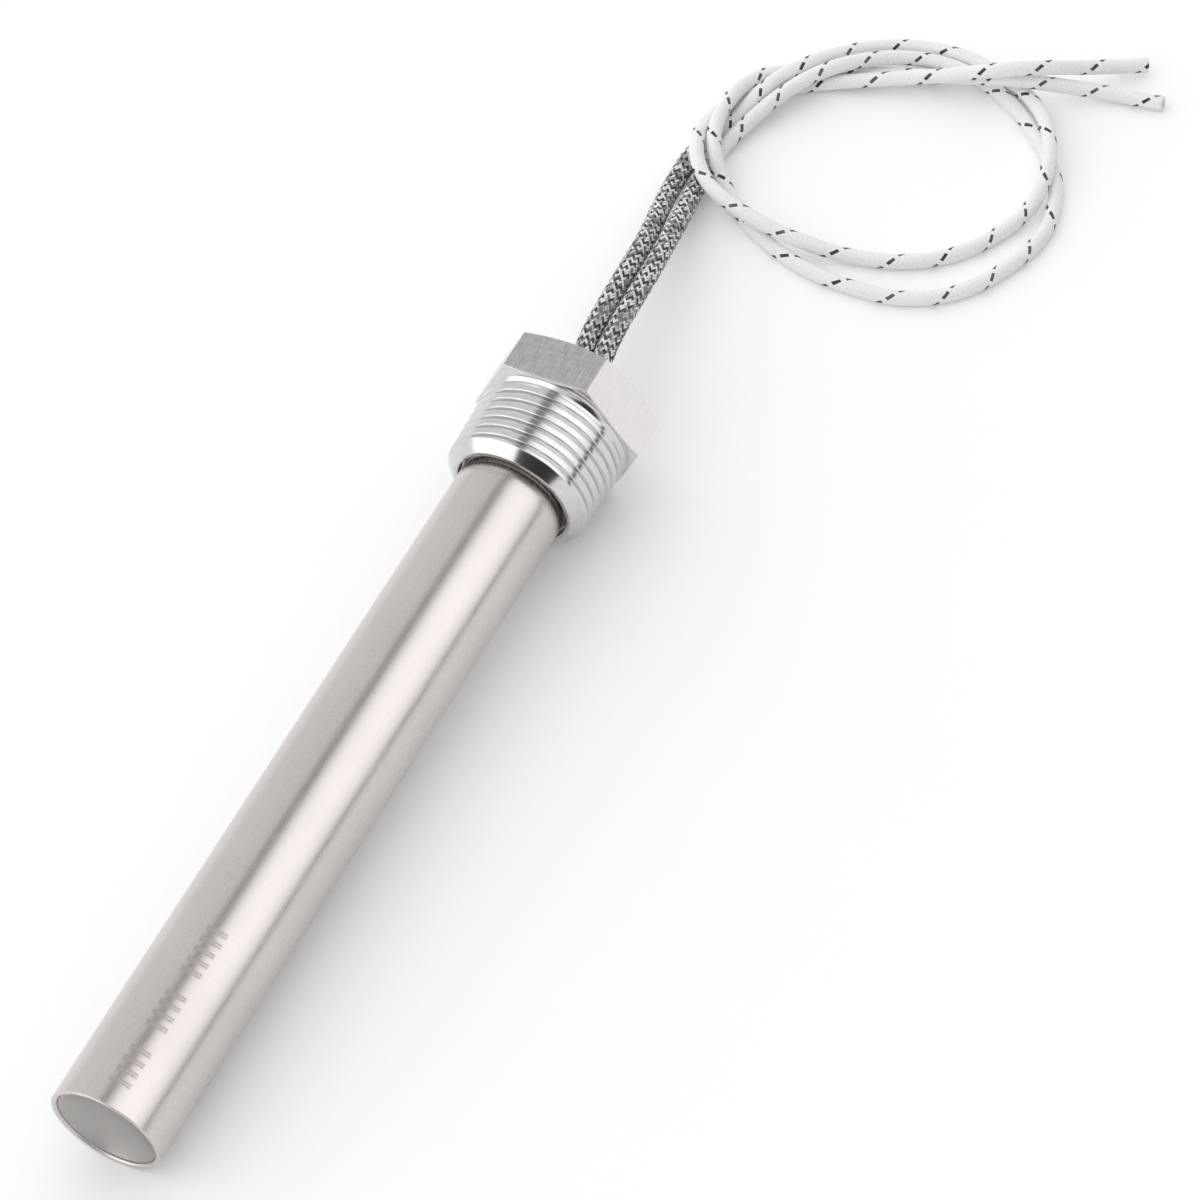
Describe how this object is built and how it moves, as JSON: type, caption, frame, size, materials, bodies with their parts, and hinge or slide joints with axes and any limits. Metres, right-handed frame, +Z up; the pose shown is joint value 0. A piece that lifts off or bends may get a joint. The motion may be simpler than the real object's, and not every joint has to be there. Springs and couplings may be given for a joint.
{
  "type": "cartridge heater",
  "caption": "Straight steel cartridge heater with a taper-threaded hexagon plug at its lead end and sleeved braided leads lying in a loose loop",
  "frame": {"origin": "centre of the shoulder where the plug's thread meets its hexagon, on the heater's axis", "axes": "+X from the tip towards the leads, level; +Z up from the surface that the heater lies on, square to the upper flat's level direction; the heater's axis climbs 1.5 degrees towards the leads"},
  "size_m": [0.2814, 0.0768, 0.0282],
  "materials": {
    "sheath_steel": "satin ground stainless tube",
    "plug_steel": "turned and milled stainless bar",
    "magnesia": "white pressed magnesia",
    "winding_alloy": "dull drawn resistance ribbon",
    "pin_nickel": "drawn nickel pin",
    "crimp_metal": "plated crimp tube",
    "copper_strand": "stranded copper",
    "insulator_weave": "woven glass-fibre tube",
    "cement": "grey cast cement",
    "sleeve_braid": "salt and pepper glass-fibre braid",
    "lead_braid": "white glass-fibre braid with a dark tracer thread"
  },
  "bodies": {
    "root": {"sheath": "sheath_steel", "end_disc": "sheath_steel", "threaded_plug": "plug_steel", "tip_washer": "magnesia", "ceramic_core": "magnesia", "resistance_ribbon": "winding_alloy", "magnesia_fill": "magnesia", "terminal_pin_long": "pin_nickel", "terminal_pin_short": "pin_nickel", "end_bush": "magnesia", "crimp_1": "crimp_metal", "crimp_2": "crimp_metal", "conductor_1": "copper_strand", "conductor_2": "copper_strand", "insulator_1": "insulator_weave", "insulator_2": "insulator_weave", "potting": "cement", "sleeve_1": "sleeve_braid", "sleeve_2": "sleeve_braid", "lead_1": "lead_braid", "lead_2": "lead_braid"}
  },
  "joints": []
}
